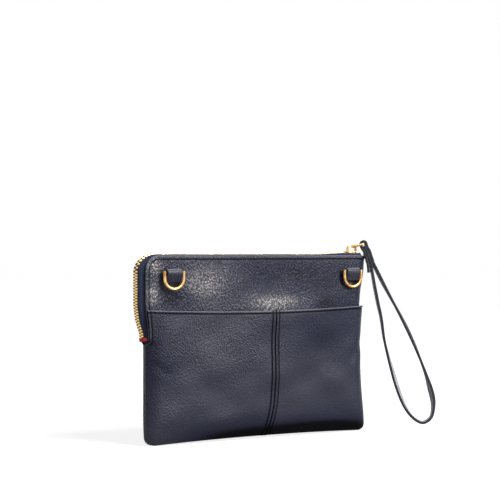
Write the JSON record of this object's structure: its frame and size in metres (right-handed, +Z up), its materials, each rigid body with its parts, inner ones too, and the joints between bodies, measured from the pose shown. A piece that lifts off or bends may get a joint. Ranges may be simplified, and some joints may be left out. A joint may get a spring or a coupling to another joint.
{
  "type": "wristlet wallet",
  "caption": "Soft flat zip pouch with slip pockets on the front, D-rings on sewn tabs and a leather wrist loop hung from the zip's pull ring.",
  "frame": {"origin": "on the ground, under the middle of the body", "axes": "+X to the right along the front, +Y to the back, +Z up"},
  "size_m": [0.2995, 0.0564, 0.1797],
  "materials": {
    "leather": "pebbled navy leather",
    "leather_dark": "pebbled navy leather",
    "lining": "plain woven lining",
    "zip_tape": "woven navy tape",
    "gold_metal": "polished pale gold",
    "red_thread": "close red stitching"
  },
  "bodies": {
    "bag": {"back_panel": "leather", "front_panel": "leather", "pocket_left": "leather_dark", "pocket_right": "leather_dark", "lining_back": "lining", "lining_front": "lining", "card_slot_low": "lining", "card_slot_middle": "lining", "card_slot_high": "lining", "zip_tape_back": "zip_tape", "zip_tape_front": "zip_tape", "zip_teeth_back": "gold_metal", "zip_teeth_front": "gold_metal", "zip_top_stops": "gold_metal", "zip_bar_tack": "red_thread", "zip_end_tab": "leather_dark", "d_ring_tab_right": "leather_dark"},
    "mouth_flap": {"front_flap": "leather", "lining_flap": "lining", "zip_tape_flap": "zip_tape", "zip_teeth_flap": "gold_metal", "d_ring_tab_left": "leather_dark"},
    "slider": {"slider_body": "gold_metal", "slider_bridge": "gold_metal"},
    "pull": {"pull_ring": "gold_metal"},
    "strap": {"wrist_strap": "leather_dark"},
    "left_ring": {"d_ring_left": "gold_metal"},
    "right_ring": {"d_ring_right": "gold_metal"}
  },
  "joints": [
    {"name": "mouth_fold", "type": "hinge", "parent": "bag", "child": "mouth_flap", "pos_m": [0.086, -0.0105, 0.164], "axis": [0.9806, 0, 0.1961], "range_deg": [0, 45]},
    {"name": "zip_slide", "type": "slide", "parent": "bag", "child": "slider", "axis": [-1, 0, 0], "range_m": [0, 0.19], "deforming": ["wrist_strap"]},
    {"name": "pull_flip", "type": "hinge", "parent": "slider", "child": "pull", "pos_m": [0.10685, 0, 0.1737], "axis": [-0.5299, -0.848, 0], "range_deg": [0, 145]},
    {"name": "strap_swing", "type": "hinge", "parent": "pull", "child": "strap", "pos_m": [0.1159, -0.00566, 0.17636], "axis": [-0.5299, -0.848, 0], "range_deg": [0, 110]},
    {"name": "left_ring_swing", "type": "hinge", "parent": "mouth_flap", "child": "left_ring", "pos_m": [-0.093, -0.01247, 0.151], "axis": [-1, 0, 0], "range_deg": [0, 150]},
    {"name": "right_ring_swing", "type": "hinge", "parent": "bag", "child": "right_ring", "pos_m": [0.0985, -0.01236, 0.151], "axis": [-1, 0, 0], "range_deg": [0, 150]}
  ]
}
